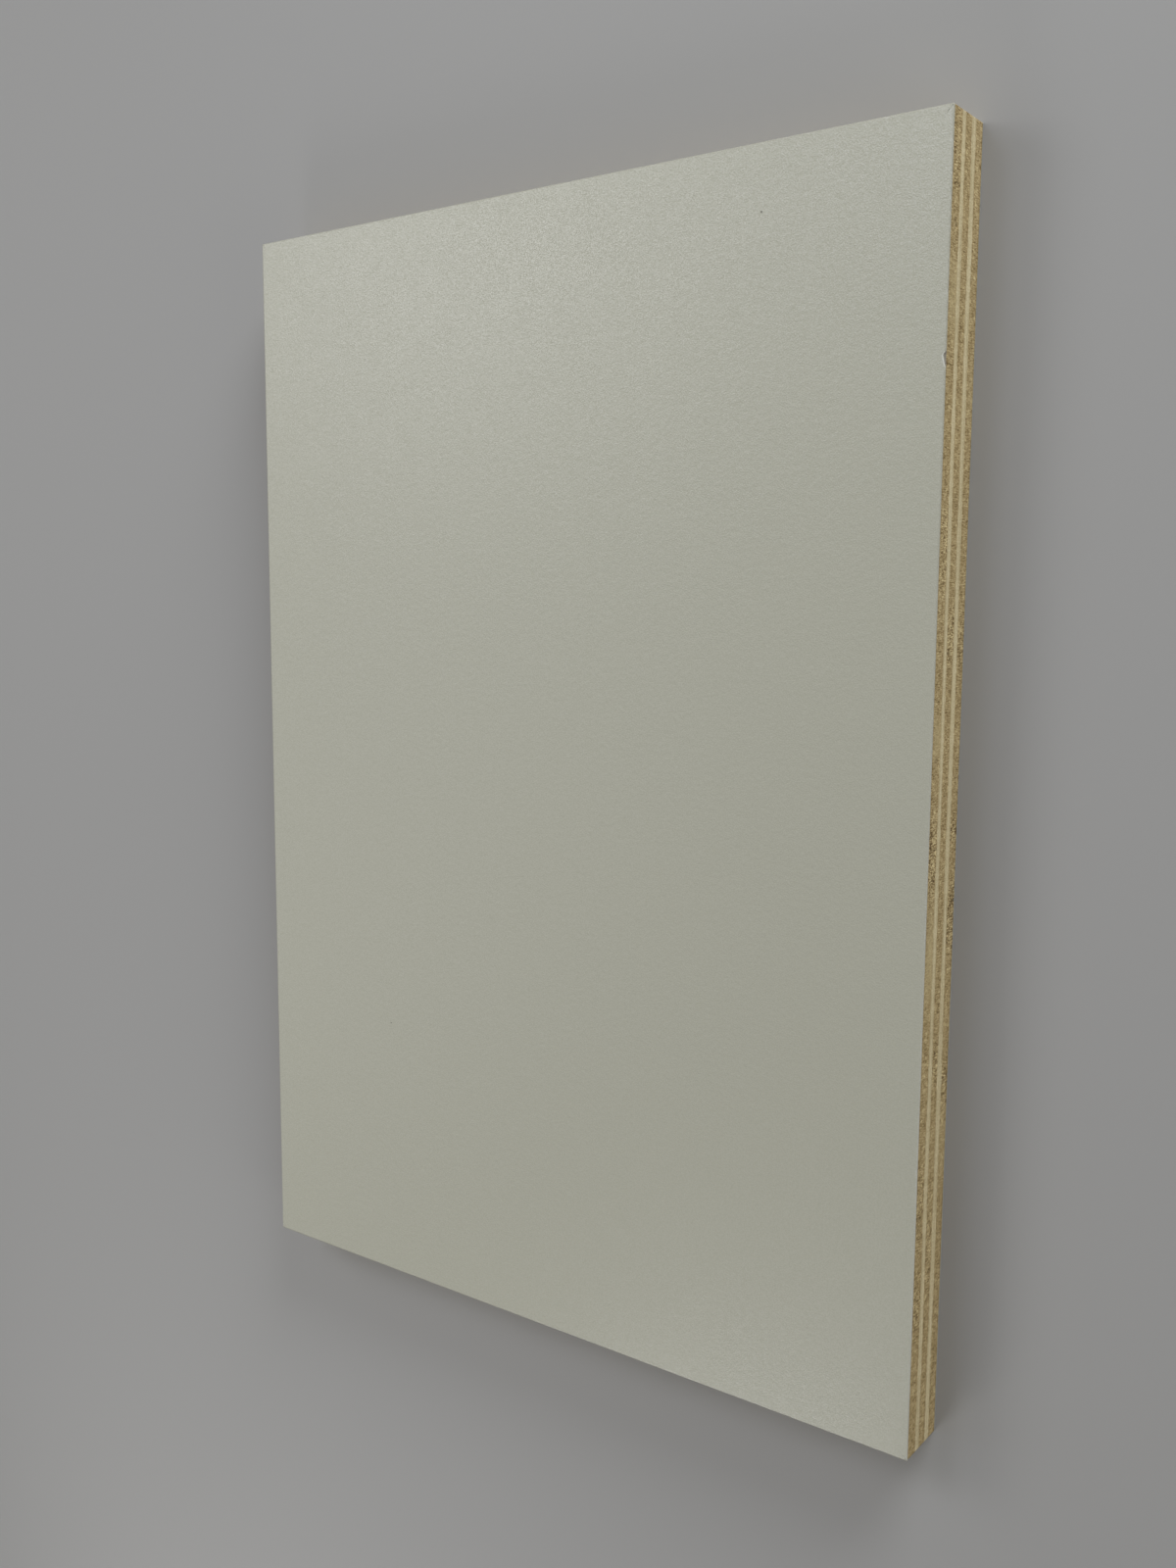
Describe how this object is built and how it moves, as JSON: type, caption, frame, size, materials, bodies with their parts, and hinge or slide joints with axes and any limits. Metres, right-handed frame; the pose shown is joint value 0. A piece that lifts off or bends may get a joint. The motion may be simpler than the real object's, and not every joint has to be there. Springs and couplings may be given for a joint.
{
  "type": "laminated plywood sheet",
  "caption": "Flat rectangular plywood panel with a white laminate skin on both faces and bare, square-sawn edges that show its crossed plies.",
  "frame": {"origin": "middle of the back face, where the panel rests", "axes": "+X across the width, to the right as the white face is seen; +Y along the length; +Z out of the white face"},
  "size_m": [0.21, 0.297, 0.0156],
  "materials": {
    "white_laminate": "satin",
    "cross_grain_veneer": "raw sawn",
    "long_grain_veneer": "raw sawn"
  },
  "bodies": {
    "root": {"back_laminate": "white_laminate", "back_ply": "cross_grain_veneer", "back_crossband": "long_grain_veneer", "centre_ply": "cross_grain_veneer", "face_crossband": "long_grain_veneer", "face_ply": "cross_grain_veneer", "face_laminate": "white_laminate"}
  },
  "joints": []
}
